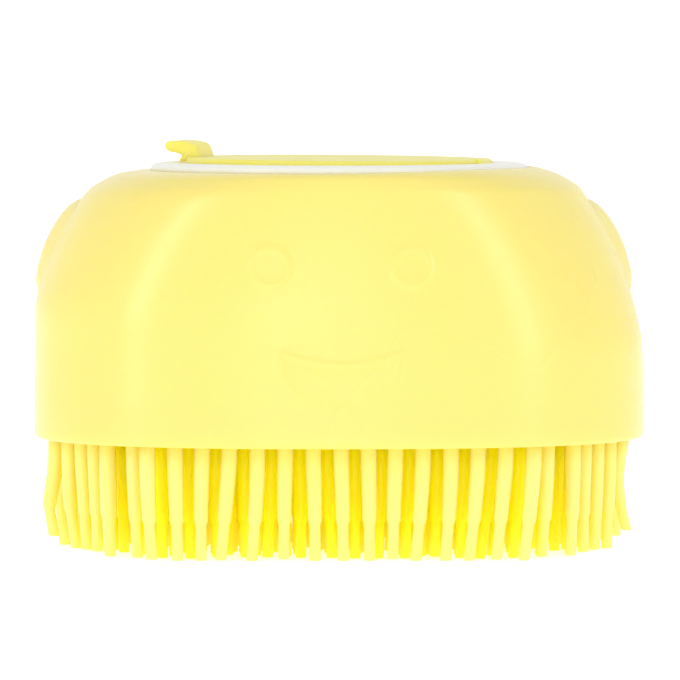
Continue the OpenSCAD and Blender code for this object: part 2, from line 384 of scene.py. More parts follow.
# %% Grip pads
def grip_rise(p):
    """How far each point of p moves outwards along X."""
    across = np.clip(1 - (2 * p[:, 1] / GRIP_L) ** 2, 0, 1) ** 2
    up = np.abs((p[:, 2] - GRIP_Z) / GRIP_HALF_H) ** GRIP_EDGE
    inside = np.clip(across - up, 0, 1) ** GRIP_SOFTNESS * across
    height = np.clip((p[:, 2] - GRIP_Z + GRIP_HALF_H) / GRIP_HALF_H, 0, 1)
    taper = GRIP_FOOT + (1 - GRIP_FOOT) * height
    side = (np.abs(p[:, 0]) > SEAT_R * 0.9) * np.sign(p[:, 0])
    return GRIP_RISE * taper * inside * side


# %% [markdown]
# The face is a plain smile moulded in low relief, about as high as two sheets of paper are thick. Each
# line is a soft ridge: its height is a bell curve of the distance from the line. The eyes are circles.
# The mouth is a crescent drawn by a ridge round it, between two arcs that meet at its corners: the
# upper is a parabola and the lower half a superellipse. The distance to the lower one is divided by a
# slope that grows towards the corners, so that the ridge keeps its width where the line turns steep.

# %% Face in relief
EYE_X, EYE_Z, EYE_R, EYE_SWELL, EYE_SOFT = 9.0, 37.9, 2.4, 0.04, 0.5
MOUTH_HALF_W, MOUTH_TOP_Z, MOUTH_SAG, MOUTH_DROP, MOUTH_X = 7.4, 26.8, 1.5, 5.6, 0.1
MOUTH_POWER, MOUTH_STEEPNESS = 2.4, 0.6
RIDGE_W, RIDGE_H = 0.4, 0.18


def ridge(distance):
    """Height of a ridge at a distance from its line."""
    return RIDGE_H * np.exp(-((distance / RIDGE_W) ** 2))


def face_rise(p):
    """How far each point of the shell moves towards the front."""
    x, z = p[:, 0], p[:, 2]
    eyes = np.hypot(np.abs(x) - EYE_X, z - EYE_Z)
    t = np.clip((x - MOUTH_X) / MOUTH_HALF_W, -1, 1)
    upper = MOUTH_TOP_Z - MOUTH_SAG * (1 - t**2)
    lower = MOUTH_TOP_Z - MOUTH_DROP * np.sqrt(np.clip(1 - np.abs(t) ** MOUTH_POWER, 0, 1))
    beyond = np.maximum(np.abs(x - MOUTH_X) - MOUTH_HALF_W, 0)
    slope = 1 + MOUTH_STEEPNESS * np.abs(t) ** 6
    to_lines = np.minimum(np.abs(z - upper), np.abs(z - lower) / slope)
    rise = ridge(np.hypot(to_lines, beyond)) + ridge(np.abs(eyes - EYE_R))
    rise = rise + EYE_SWELL * smooth_step(-eyes, -EYE_R, -EYE_R + EYE_SOFT)
    return rise * (p[:, 1] < 0)


# %% [markdown]
# Soft silicone never stands quite true. The dome leans a little to the left above its middle, a smooth
# shift along X that vanishes at the rim. On the right the dome's top also laps up a little over the
# edge of the collar that is pushed into it.

# %% Set of the soft dome
LEAN_MM, LEAN_FROM_Z, LEAN_FULL_Z = -0.62, 26, 34
LEAN_LOST, LOST_FROM_Z, LOST_TO_Z = 0.6, 45.5, 49
LAP_MM, LAP_FROM_X, LAP_FULL_X = 0.42, -2, 20
LAP_NEAR, LAP_FAR = 0.6, 5
SEAT_EDGE, FLANGE_GAP, NECK_GAP, RIM_BREAK = 0.5, 0.15, 0.2, 0.15


def soft_set(p):
    """The sideways shift of each point: none at the rim, full from the grips up, less at the collar."""
    kept = 1 - LEAN_LOST * smooth_step(p[:, 2], LOST_FROM_Z, LOST_TO_Z)
    return LEAN_MM * smooth_step(p[:, 2], LEAN_FROM_Z, LEAN_FULL_Z) * kept


def lap_rise(p):
    """How far each point near the collar is raised, nothing on the left and LAP_MM on the right."""
    near = 1 - smooth_step(np.hypot(p[:, 0], p[:, 1]), FLANGE_R + LAP_NEAR, FLANGE_R + LAP_FAR)
    return LAP_MM * near * smooth_step(p[:, 0], LAP_FROM_X, LAP_FULL_X)


def make_shell():
    """All the rings of the skin, from the rim's lower edge up, over the lip and down the inside."""
    rings = []
    for a in np.linspace(0, np.pi / 2, 5)[:-1]:
        inset, z = EDGE_R * (1 - np.sin(a)), RIM_Z + EDGE_R * (1 - np.cos(a))
        rings.append(level(HALF_W - inset, HALF_D - inset, RIM_POWER, z))
    for share, z in curve_through([(1, RIM_Z + EDGE_R), (1, 17)] + OUTER_SIDE, OUTER_LEVELS):
        ring = shell_level(share, z, SEAT_R, HALF_W, HALF_D)
        ring[:, 0] += grip_rise(ring) + soft_set(ring)
        ring[:, 1] -= face_rise(ring)
        ring[:, 2] += lap_rise(ring)
        rings.append(ring)
    edge = level(FLANGE_R + SEAT_EDGE, FLANGE_R + SEAT_EDGE, 2, SEAT_Z + 0.08)
    edge[:, 2] += lap_rise(edge)
    rings.append(edge)
    seat, hub, hole = FLANGE_R + FLANGE_GAP, HUB_R + NECK_GAP, NECK_R + NECK_GAP
    steps = [(seat, SEAT_Z), (hub, SEAT_Z), (hub, LIP_TOP_Z), (hole, LIP_TOP_Z), (hole, LIP_BOTTOM_Z)]
    for r, z in steps:
        rings.append(level(r, r, 2, z))
    for share, z in curve_through(INNER_SIDE, INNER_LEVELS)[::-1]:
        z = max(z, PAD_TOP_Z)
        rings.append(shell_level(share, z, INNER_SEAT_R, HALF_W - WALL, HALF_D - WALL))
    for z in (PAD_TOP_Z, RIM_Z + RIM_BREAK, RIM_Z):
        skirt = SKIRT_T - (RIM_BREAK if z == RIM_Z else 0)
        rings.append(level(HALF_W - skirt, HALF_D - skirt, RIM_POWER, z))
    rings = np.array(rings)
    return mesh_object("shell_skin", rings.reshape(-1, 3), ring_quads(len(rings), AROUND_SHELL, True))


shell = make_shell()
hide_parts("squeeze_shell")
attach(shell, "brush")

# %% [markdown]
# ## The brush pad
#
# The pad is a flat oval plate with a soft edge. It is drawn as a stack of rings closed by one flat
# face at each end, and the shampoo outlets are then cut through it, because a plate with holes has no
# simple grid.

# %% Pad plate with its outlets
BRISTLE_PITCH, ROW_MAX, SIDE_ROWS = 3.54, 22, 7
ROW_PITCH = BRISTLE_PITCH * math.sqrt(3) / 2
STEM_R, STEM_END_R, TIP_R, TIP_L, STEP_H = 1.075, 0.925, 0.725, 4.6, 0.6
OUTLET_R, OUTLET_COLUMNS = 0.7, 3
PAD_GAP, PAD_EDGE_R = 0.1, 0.4
AROUND_PAD, AROUND_OUTLET = 160, 16


def outlet_places():
    """Centres of the outlets: three rows across the middle, each between three bristles."""
    rows = []
    for j in (-1, 0, 1):
        count = 2 * OUTLET_COLUMNS + (1 if j == 0 else 2)
        x = (np.arange(count) - (count - 1) / 2) * BRISTLE_PITCH * 2
        rows.append(np.stack([x, np.full(count, (2 * j + 1 / 3) * ROW_PITCH)], -1))
    return np.concatenate(rows)


def make_pad():
    """The plate, less a short cylinder for each outlet."""
    phi = np.linspace(0, 2 * np.pi, AROUND_PAD, endpoint=False)
    inset = SKIRT_T + PAD_GAP
    rings = []
    for a in np.linspace(0, np.pi / 2, 4):
        back = inset + PAD_EDGE_R * (1 - np.sin(a))
        z = PAD_BOTTOM_Z + PAD_EDGE_R * (1 - np.cos(a))
        rings.append(level(HALF_W - back, HALF_D - back, RIM_POWER, z, phi))
    rings.append(level(HALF_W - inset, HALF_D - inset, RIM_POWER, PAD_TOP_Z, phi))
    rings = np.array(rings)
    side = ring_quads(len(rings), AROUND_PAD, False)
    plate = mesh_object("pad_plate", rings.reshape(-1, 3), side, flat_ends(len(rings), AROUND_PAD))
    turn = np.linspace(0, 2 * np.pi, AROUND_OUTLET, endpoint=False)
    circle = np.stack([OUTLET_R * np.cos(turn), OUTLET_R * np.sin(turn), 0 * turn], -1)
    low = np.array([0, 0, PAD_BOTTOM_Z - 1])
    high = np.array([0, 0, PAD_TOP_Z + 1])
    places = outlet_places()
    centres = np.concatenate([places, np.zeros((len(places), 1))], 1)
    one = np.concatenate([circle + low, circle + high])
    pegs = (centres[:, None] + one[None]).reshape(-1, 3)
    sides = repeat_faces(ring_quads(2, AROUND_OUTLET, False), len(places), len(one))
    ends = repeat_faces(flat_ends(2, AROUND_OUTLET), len(places), len(one))
    cutter = mesh_object("outlet_pegs", pegs, sides, ends)
    cut = plate.modifiers.new("outlets", "BOOLEAN")
    cut.operation, cut.solver, cut.object = "DIFFERENCE", "EXACT", cutter
    graph = bpy.context.evaluated_depsgraph_get()
    holed = bpy.data.meshes.new_from_object(plate.evaluated_get(graph))
    plate.modifiers.clear()
    plate.data = holed
    bpy.data.objects.remove(cutter)
    print(f"pad_plate: {len(places)} outlets cut, {len(holed.polygons)} faces")
    return plate


pad = make_pad()
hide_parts("brush_pad")
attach(pad, "brush")

# %% [markdown]
# ## The bristles
#
# There are 274 bristles in 15 rows, each row half a pitch out of step with the next. A bristle is a
# thick stem that thins downwards and steps to a thin tip. In use they take a slight set, so each one
# bends sideways as it comes down: a point a share s of the way from root to tip moves by s to the
# power 1.6 times the shift of its tip. It may also bow out on the way: with w = s to the power that
# puts w = 1/2 at the widest place, the bow is (4 w (1 - w)) squared. The last ones at either end are
# pressed most and end a little above the others. The rows' ends lie on slanting lines, but for two at
# each end that stand out to fill the oval's corners. All bristles are worked out at once, as one array
# of bristle, ring, corner and coordinate.

# %% Bristle field
# Place of a root from left to right, and how far its tip stands to the right of it
TIP_SHIFT = np.array([
    (-38, 0.9), (-34, 1.1), (-30, 0.6), (-26, 0.45), (-24, 0.2), (-21, -0.2), (-14, -0.3), (-10.7, 0),
    (-7, -0.1), (-3.4, 0.4), (0, 0.3), (4, -0.05), (7, -0.3), (10.7, -0.75), (14, -0.5), (18, -0.9),
    (21.5, -1.2), (25, -1.3), (28, -0.7), (30, 0), (31.9, 0.15), (33.6, -0.25), (35, -0.4), (38, -0.6),
])  # fmt: skip
# The front row's tips were set one by one, from left to right: how many pixels of the photo each one
# stands to the right of the place that TIP_SHIFT and a small scatter give it
FRONT_NUDGE_PX = [1.5, 4.5, -0.5, -7, -7, -1, -1.5, 0, 1.5, 0.5, -1, -2.5, -2, -1.7, -1]
PX_PER_MM = 7.85
TIP_SCATTER, FRONT_SCATTER, BOW_SCATTER, SHORT_SCATTER = 0.5, 0.15, 0.12, 0.12
BEND_POWER, SHORT_POWER, BOW_PLACE = 1.6, 3, 0.5
# Row: how far the roots at its left and right end move
ROOT_SHIFT = {-5: (-1.7, 1.7), 0: (0, 0.45), 5: (-1.7, 1.7)}
# Row and end, where 0 is left and -1 right: shift of the tip, bow, widest place, how much shorter
PRESSED_ENDS = {
    (0, 0): (-0.35, -0.75, 0.70, 1.4),
    (1, 0): (-0.8, -0.8, 0.70, 0.0),
    (2, 0): (-0.6, -0.3, 0.60, 0.0),
    (0, -1): (0.25, -1.1, 0.44, 2.1),
    (1, -1): (1.3, 0.1, 0.50, 1.05),
    (2, -1): (0.9, 0.2, 0.60, 0.2),
    (-1, 0): (0.95, -0.3, 0.60, 0.1),
    (-1, -1): (-0.3, 0.0, 0.50, 0.0),
    (-2, -1): (-0.3, 0.0, 0.50, 0.1),
}
BRISTLE_SIDES = 8
ROOT_T = 0.4
# Where the painted shade between the bristles starts and where it is full, and how much tips and stems
# take
DEPTH_FROM, DEPTH_TO = 0.8, 3.2
TIP_DEPTH, STEM_DEPTH, STEM_FROM_Z, STEM_TO_Z = 0.8, 0.2, 0.5, 5.0


def scatter(i, j):
    """A repeatable spread from -1 to 1 for bristle i of row j."""
    return np.sin(np.radians(137.5 * i * i + 71.3 * j * j * i + 29.7 * j))


def bristle_places():
    """For every bristle: root x and y, tip's shift in x and y, bow, where it bows, how short it is."""
    out = []
    for j in range(-SIDE_ROWS, SIDE_ROWS + 1):
        count = ROW_MAX - abs(j)
        i = np.arange(count)
        x = (i - (count - 1) / 2) * BRISTLE_PITCH
        x[[0, -1]] += ROOT_SHIFT.get(j, (0, 0))
        front = j == -SIDE_ROWS
        spread = FRONT_SCATTER if front else TIP_SCATTER
        leans = np.interp(x, *TIP_SHIFT.T) + spread * scatter(i, j)
        if front:
            leans = np.round(leans + np.array(FRONT_NUDGE_PX) / PX_PER_MM, 2)
        row = np.stack([
            x,
            np.full(count, j * ROW_PITCH),
            leans,
            TIP_SCATTER * scatter(i + 5, j + 3) * (not front),
            BOW_SCATTER * scatter(i + 3, j + 9),
            np.full(count, BOW_PLACE),
            SHORT_SCATTER * (1 + scatter(i + 7, j + 5)),
        ], -1)  # fmt: skip
        for (pressed_row, end), (shift, bow, widest, short) in PRESSED_ENDS.items():
            if j == pressed_row:
                row[end, [2, 4, 5, 6]] = shift, bow, widest, short
        out.append(row)
    return np.concatenate(out)


def make_bristles():
    """Every bristle as rings from its flat tip up to its root, closed by one flat face at each end."""
    roots = bristle_places()
    profile = np.array([
        (STEM_R, PAD_BOTTOM_Z + ROOT_T), (STEM_R - 0.03, 11.6), (STEM_R - 0.07, 9.2),
        (STEM_END_R + 0.03, 7.0), (STEM_END_R, TIP_L + STEP_H), (TIP_R, TIP_L - 0.1), (TIP_R, 0.12),
        (TIP_R - 0.1, 0.0),
    ])  # fmt: skip
    turn = np.linspace(0, 2 * np.pi, BRISTLE_SIDES, endpoint=False)
    along = np.clip((PAD_BOTTOM_Z - profile[:, 1]) / PAD_BOTTOM_Z, 0, 1)
    centre = roots[:, None, :2] + (along**BEND_POWER)[None, :, None] * roots[:, None, 2:4]
    w = along[None] ** (math.log(0.5) / np.log(roots[:, 5:6]))
    centre[..., 0] += (4 * w * (1 - w)) ** 2 * roots[:, 4:5]
    round_xy = profile[:, 0][:, None, None] * np.stack([np.cos(turn), np.sin(turn)], -1)[None]
    xy = centre[:, :, None, :] + round_xy[None]
    height = profile[None, :, 1] + along[None] ** SHORT_POWER * roots[:, 6:7]
    z = np.broadcast_to(height[:, :, None, None], xy.shape[:3] + (1,))
    rings = np.concatenate([xy, z], -1)[:, ::-1]
    count = rings.shape[1]
    points = rings.reshape(-1, 3)
    quads = repeat_faces(ring_quads(count, BRISTLE_SIDES, False), len(roots), count * BRISTLE_SIDES)
    ends = repeat_faces(flat_ends(count, BRISTLE_SIDES), len(roots), count * BRISTLE_SIDES)
    piece = mesh_object("bristle_field", points, quads, ends)
    # Painted shade: how deep inside the field each point lies, which the bristle material turns into a
    # deeper yellow
    shade = piece.data.attributes.new("painted_shade_depth", "FLOAT", "POINT")
    shade.data.foreach_set("value", painted_shade_depth(points).astype(np.float32))
    print(f"{len(roots)} bristles")
    return piece


def painted_shade_depth(p):
    """Painted shade for each point: 0 at the outermost bristles, 1 a few millimetres inside, less at
    the tips.
    """
    half_w = (ROW_MAX - 1) / 2 * BRISTLE_PITCH + STEM_R
    half_d = SIDE_ROWS * ROW_PITCH + STEM_R
    from_ends = half_w - np.abs(p[:, 0]) - np.abs(p[:, 1]) / math.sqrt(3)
    from_front = half_d - np.abs(p[:, 1])
    inside = smooth_step(np.minimum(from_ends, from_front), DEPTH_FROM, DEPTH_TO)
    return inside * (TIP_DEPTH + STEM_DEPTH * smooth_step(p[:, 2], STEM_FROM_Z, STEM_TO_Z))


bristles = make_bristles()
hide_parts("brush_pad")
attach(bristles, "brush")

# %% [markdown]
# ## The collar
#
# The collar is turned from one profile: a flange with a rounded outer edge and a shallow seat for the
# lid, a hub that sits in the shell's step, and a neck that hangs into the reservoir with a snap bead
# near its end. A surface of revolution suits it: (r, z) carried round the axis.

# %% Collar ring
AROUND_COLLAR = 180
FLANGE_BEVEL, FLANGE_FOOT = 1.5, 0.4


def turned(name, profile, around):
    """A closed surface: each (r, z) of a closed profile, given anticlockwise, carried round Z."""
    profile = np.asarray(profile, float)
    turn = np.linspace(0, 2 * np.pi, around, endpoint=False)
    rings = np.stack([
        profile[:, :1] * np.cos(turn),
        profile[:, :1] * np.sin(turn),
        np.broadcast_to(profile[:, 1:], (len(profile), around)),
    ], -1)  # fmt: skip
    return mesh_object(name, rings.reshape(-1, 3), ring_quads(len(profile), around, True))


def collar_profile():
    """Outside of the neck up to the flange, over its rounded edge and down the filling hole."""
    a = np.linspace(0, np.pi / 2, 9)
    arc = np.stack([
        FLANGE_R - FLANGE_BEVEL * (1 - np.cos(a)),
        SEAT_Z + FLANGE_FOOT + (FLANGE_TOP_Z - SEAT_Z - FLANGE_FOOT) * np.sin(a),
    ], -1)  # fmt: skip
    under = [
        (MOUTH_R, 42.9), (NECK_R - 0.15, 42.9), (NECK_R, 43.05), (NECK_R + 0.6, 44.2),
        (NECK_R + 0.6, 44.5), (NECK_R, 44.55), (NECK_R, LIP_TOP_Z), (HUB_R, LIP_TOP_Z), (HUB_R, SEAT_Z),
        (FLANGE_R - 0.05, SEAT_Z), (FLANGE_R, SEAT_Z + 0.05),
    ]  # fmt: skip
    mouth = [
        (LID_R + 1.35, FLANGE_TOP_Z), (LID_R + 1.15, FLANGE_TOP_Z - 0.04),
        (LID_R + 0.8, LID_SEAT_Z + 0.05), (LID_R + 0.6, LID_SEAT_Z), (MOUTH_R + 0.4, LID_SEAT_Z),
        (MOUTH_R + 0.1, LID_SEAT_Z - 0.1), (MOUTH_R, LID_SEAT_Z - 0.4),
    ]  # fmt: skip
    return np.concatenate([under, arc, mouth])


collar = turned("collar_ring", collar_profile(), AROUND_COLLAR)
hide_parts("filler_collar")
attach(collar, "brush")

# %% [markdown]
# ## The lid
#
# The lid is a thin silicone plate with a plug under it and a pull tab at its edge. The plate is
# turned like the collar, but where it meets the hinge its edge is cut straight, with a notch for the
# tether: the radius there is the smaller of the round edge and the distance to that straight line,
# x / cos phi. The tab is one profile carried sideways, drawn in a little towards its ends, which are
# closed by quads between each point on the profile's upper side and its partner on the lower side.

# %% Lid plate and plug
LID_EDGE_R, LID_SLOPE = 0.35, 0.007
PLUG_R, PLUG_T, PLUG_BOTTOM_Z, BEAD_R, BEAD_Z = 16.35, 1.5, 47.9, 16.5, 49.2
TETHER_W, TETHER_T = 8.0, 1.1
TAB_BASE_Z = FLANGE_TOP_Z + 0.1
HINGE_GAP = 0.15
FLAT_X, NOTCH_X = HINGE_X - HINGE_GAP, HINGE_X - TETHER_T / 2 - HINGE_GAP
AROUND_LID, NO_LIMIT = 200, 99.0
TAB_W, TAB_FILLET, TAB_END, TAB_POINTS, TAB_ROWS = 8.5, 0.4, 1.2, 68, 7


def to_hinge(points):
    """Points turned round Z from the right-hand side to the hinge's direction."""
    c, s = math.cos(HINGE_TURN), math.sin(HINGE_TURN)
    return points @ np.array([[c, s, 0], [-s, c, 0], [0, 0, 1]])


def lid_plate_points():
    """Rings of plate and plug from the middle of the underside up. The top falls towards the hinge."""
    a = np.linspace(0, np.pi / 2, 5)
    edge = np.stack([
        LID_R - LID_EDGE_R * (1 - np.sin(a)),
        LID_TOP_Z - LID_EDGE_R * (1 - np.cos(a)),
    ], -1)  # fmt: skip
    top = [(6, LID_TOP_Z - 0.04), (12, LID_TOP_Z - 0.03), (17.2, LID_TOP_Z - 0.01)]
    under = [
        (LID_R, LID_SEAT_Z + 0.12), (LID_R - 0.1, LID_SEAT_Z + 0.02), (PLUG_R, LID_SEAT_Z + 0.02),
        (PLUG_R, BEAD_Z + 0.5), (BEAD_R, BEAD_Z),
        (PLUG_R, BEAD_Z - 0.5), (PLUG_R - 0.1, PLUG_BOTTOM_Z + 0.3), (PLUG_R - 0.4, PLUG_BOTTOM_Z),
        (PLUG_R - PLUG_T, PLUG_BOTTOM_Z), (PLUG_R - PLUG_T, LID_SEAT_Z), (8, LID_SEAT_Z),
    ]  # fmt: skip
    profile = np.concatenate([top, edge, under])[::-1]
    half_notch = math.atan2(TETHER_W / 2 + HINGE_GAP, NOTCH_X)
    phi = np.sort(np.concatenate([
        np.linspace(-np.pi, np.pi, AROUND_LID, endpoint=False),
        [-half_notch - 1e-3, -half_notch, half_notch, half_notch + 1e-3],
    ]))  # fmt: skip
    limit = np.where(np.abs(phi) <= half_notch, NOTCH_X, FLAT_X)
    straight = np.where(np.cos(phi) > 0.5, limit / np.maximum(np.cos(phi), 0.5), NO_LIMIT)
    from_edge = np.maximum(LID_R - profile[:, :1], 0) * (profile[:, :1] > LID_R - 1)
    r = np.minimum(profile[:, :1], straight - from_edge)
    z = np.broadcast_to(profile[:, 1:], r.shape)
    z = z - LID_SLOPE * (r * np.cos(phi) + LID_R) * (z > LID_SEAT_Z + 0.3)
    return np.stack([r * np.cos(phi), r * np.sin(phi), z], -1)


def tab_points():
    """The tab's profile in (x, z), a smooth closed curve, carried from end to end along Y."""
    outline = [
        (-17.7, TAB_BASE_Z), (-18.05, 52.0), (-18.45, 52.8), (-18.9, 53.08), (-19.8, 53.3),
        (-21.0, 53.38), (-21.8, 53.38), (-22.35, 53.2), (-22.57, 52.8), (-22.4, 52.3), (-21.8, 51.95),
        (-20.9, 51.78), (-20.45, 51.58), (-20.3, 51.3), (-20.4, 51.0), (-20.58, 50.8), (-20.6, 50.72),
        (-20.5, TAB_BASE_Z),
    ]  # fmt: skip
    curve = curve_through(outline, TAB_POINTS)
    middle = np.array([-19.6, 52.2])
    half = TAB_W / 2
    ends = TAB_FILLET * np.array([0.0, 0.2, 0.5, 1.0])
    inset = TAB_FILLET - np.sqrt(np.maximum(TAB_FILLET**2 - (TAB_FILLET - ends) ** 2, 0))
    between = np.linspace(-half + TAB_END, half - TAB_END, TAB_ROWS)
    y = np.concatenate([-half + ends, between, half - ends[::-1]])
    back = np.concatenate([inset, np.zeros(TAB_ROWS), inset[::-1]])
    away = curve - middle
    away /= np.linalg.norm(away, axis=1)[:, None]
    xz = curve[None] - back[:, None, None] * away[None]
    return np.stack([xz[..., 0], np.broadcast_to(y[:, None], xz.shape[:2]), xz[..., 1]], -1)


def make_lid():
    """Plate and tab as one piece, turned to the hinge's direction."""
    plate = lid_plate_points()
    rings, around = plate.shape[:2]
    plate_points = np.concatenate([
        plate.reshape(-1, 3), [[0, 0, LID_SEAT_Z], [0, 0, LID_TOP_Z - 0.04 - LID_SLOPE * LID_R]]
    ])  # fmt: skip
    plate_quads = ring_quads(rings, around, False)
    plate_caps = np.concatenate([
        cap_triangles(0, around, rings * around, False),
        cap_triangles((rings - 1) * around, around, rings * around + 1, True),
    ])
    tab = tab_points()
    rows, along = tab.shape[:2]
    first = len(plate_points)
    k = np.arange(along // 2 - 1)
    near_end = np.stack([k, k + 1, along - 2 - k, along - 1 - k], -1)
    far_end = near_end[:, ::-1] + (rows - 1) * along
    tab_quads = np.concatenate([ring_quads(rows, along, False)[:, ::-1], near_end, far_end]) + first
    points = to_hinge(np.concatenate([plate_points, tab.reshape(-1, 3)]))
    quads = np.concatenate([plate_quads, tab_quads])
    return mesh_object("plug_lid", points, quads, plate_caps)


lid = make_lid()
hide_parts("filler_lid")
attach(lid, "lid")

# %% [markdown]
# ## The tether
#
# The tether is a tongue of the same silicone. A T-shaped head holds it under the collar, and its web
# comes up through a slot to the fold that the lid turns about. Its cross-section, carried along the
# fold, is a closed outline of (x, z, half width). It is drawn like a ladder, so that each point on the
# lid's side has a partner on the outer side, and quads between partners close the two ends. Every
# corner is broken into a short slope, and the fold's outer corner into a wide one.

# %% Tether
HEAD_FROM_X, HEAD_TO_X, HEAD_Z, HEAD_T, HEAD_W = 18.4, 22.4, 48.8, 0.8, 9.0
CORNER_CUT = 0.06
WEB_TOP_Z = LID_TOP_Z - 0.15


def make_tether():
    """Rungs of the ladder from the head's underside up to the fold, as a ring at four places in Y."""
    web_in, web_out = HINGE_X - TETHER_T / 2, HINGE_X + TETHER_T / 2
    head_top, wide, narrow, cut = HEAD_Z + HEAD_T, HEAD_W / 2, TETHER_W / 2, CORNER_CUT
    rungs = [
        (HEAD_FROM_X + cut, HEAD_TO_X - cut, HEAD_Z, HEAD_Z, wide),
        (HEAD_FROM_X, HEAD_TO_X, HEAD_Z + cut, HEAD_Z + cut, wide),
        (HEAD_FROM_X, HEAD_TO_X, head_top - cut, head_top - cut, wide),
        (HEAD_FROM_X + cut, HEAD_TO_X - cut, head_top, head_top, wide),
        (web_in, web_out, head_top, head_top, narrow),
        (web_in, web_out, head_top + cut, head_top + cut, narrow),
        (web_in, web_out, WEB_TOP_Z - 0.9, WEB_TOP_Z - 0.9, narrow),
        (web_in, web_out - 0.06, WEB_TOP_Z - cut, WEB_TOP_Z - 0.56, narrow),
        (web_in + 0.03, web_out - 0.24, WEB_TOP_Z - 0.02, WEB_TOP_Z - 0.26, narrow),
        (web_in + cut, web_out - 0.54, WEB_TOP_Z, WEB_TOP_Z - 0.06, narrow),
    ]
    near = np.array([(x, z, half) for x, _, z, _, half in rungs])
    far = np.array([(x, z, half) for _, x, _, z, half in rungs])
    outline = np.concatenate([near, far[::-1]])
    count = len(outline)
    rows = []
    for side, back in ((-1, 0), (-1, cut), (1, cut), (1, 0)):
        x = outline[:, 0] - (0 if back else cut) * np.sign(outline[:, 0] - HINGE_X)
        rows.append(np.stack([x, side * (outline[:, 2] - back), outline[:, 1]], -1))
    k = np.arange(count // 2 - 1)
    far_end = np.stack([k, k + 1, count - 2 - k, count - 1 - k], -1)
    near_end = far_end[:, ::-1]
    far_end = far_end + (len(rows) - 1) * count
    quads = np.concatenate([ring_quads(len(rows), count, False), near_end, far_end])
    return mesh_object("tether_tongue", to_hinge(np.concatenate(rows)), quads)


tether = make_tether()
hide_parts("lid_tether")
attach(tether, "brush")

# %% [markdown]
# ## Finishes
#
# Silicone and moulded plastic both have a very fine even texture from the mould, and a slow change of
# tone where the wall is thicker or thinner. One node group makes both from noise on Object
# coordinates, and each material places it with its own colours and scales. Silicone also lets light
# in, which subsurface scattering gives, and this is part of what makes the gaps between bristles glow.
# The rest is painted shade: deep in the field the bristles' base colour is painted a deeper yellow,
# the colour of light bounced from bristle to bristle, by a number that the mesh holds at each point
# and a little by height.

# %% Node group for moulded surfaces
def make_moulded_group():
    """Colour between two tones by slow noise, roughness varied by the same noise, and fine height."""
    group = bpy.data.node_groups.new("moulded_surface", "ShaderNodeTree")
    sockets = [
        ("Light Tone", "NodeSocketColor", (1, 1, 1, 1)),
        ("Deep Tone", "NodeSocketColor", (0.8, 0.8, 0.8, 1)),
        ("Tone Scale", "NodeSocketFloat", 40.0),
        ("Grain Scale", "NodeSocketFloat", 3000.0),
        ("Roughness", "NodeSocketFloat", 0.45),
        ("Roughness Spread", "NodeSocketFloat", 0.08),
    ]
    for name, kind, value in sockets:
        socket = group.interface.new_socket(name=name, in_out="INPUT", socket_type=kind)
        socket.default_value = value
    for name, kind in (("Color", "Color"), ("Roughness", "Float"), ("Height", "Float")):
        group.interface.new_socket(name=name, in_out="OUTPUT", socket_type="NodeSocket" + kind)
    nodes = group.nodes
    given, result = nodes.new("NodeGroupInput"), nodes.new("NodeGroupOutput")
    place = nodes.new("ShaderNodeTexCoord")
    tone, grain = nodes.new("ShaderNodeTexNoise"), nodes.new("ShaderNodeTexNoise")
    tone.inputs["Detail"].default_value, grain.inputs["Detail"].default_value = 3.0, 2.0
    mix = nodes.new("ShaderNodeMix")
    mix.data_type = "RGBA"
    spread = nodes.new("ShaderNodeMath")
    spread.operation = "MULTIPLY_ADD"
    centred = nodes.new("ShaderNodeMath")
    centred.operation = "SUBTRACT"
    centred.inputs[1].default_value = 0.5
    link_nodes(
        group,
        (place.outputs["Object"], tone.inputs["Vector"]),
        (place.outputs["Object"], grain.inputs["Vector"]),
        (given.outputs["Tone Scale"], tone.inputs["Scale"]),
        (given.outputs["Grain Scale"], grain.inputs["Scale"]),
        (tone.outputs["Fac"], mix.inputs["Factor"]),
        (given.outputs["Deep Tone"], mix.inputs["A"]),
        (given.outputs["Light Tone"], mix.inputs["B"]),
        (mix.outputs["Result"], result.inputs["Color"]),
        (tone.outputs["Fac"], centred.inputs[0]),
        (centred.outputs[0], spread.inputs[0]),
        (given.outputs["Roughness Spread"], spread.inputs[1]),
        (given.outputs["Roughness"], spread.inputs[2]),
        (spread.outputs[0], result.inputs["Roughness"]),
        (grain.outputs["Fac"], result.inputs["Height"]),
    )
    return group


moulded_surface = make_moulded_group()
print("node group:", moulded_surface.name)


# %% Materials
MOULDED_IOR = 1.41
BUMP_STRENGTH = 0.4
# How far red, green and blue light go into the material: red deepest, blue hardly at all
SCATTER_REACH = (1.0, 0.75, 0.12)


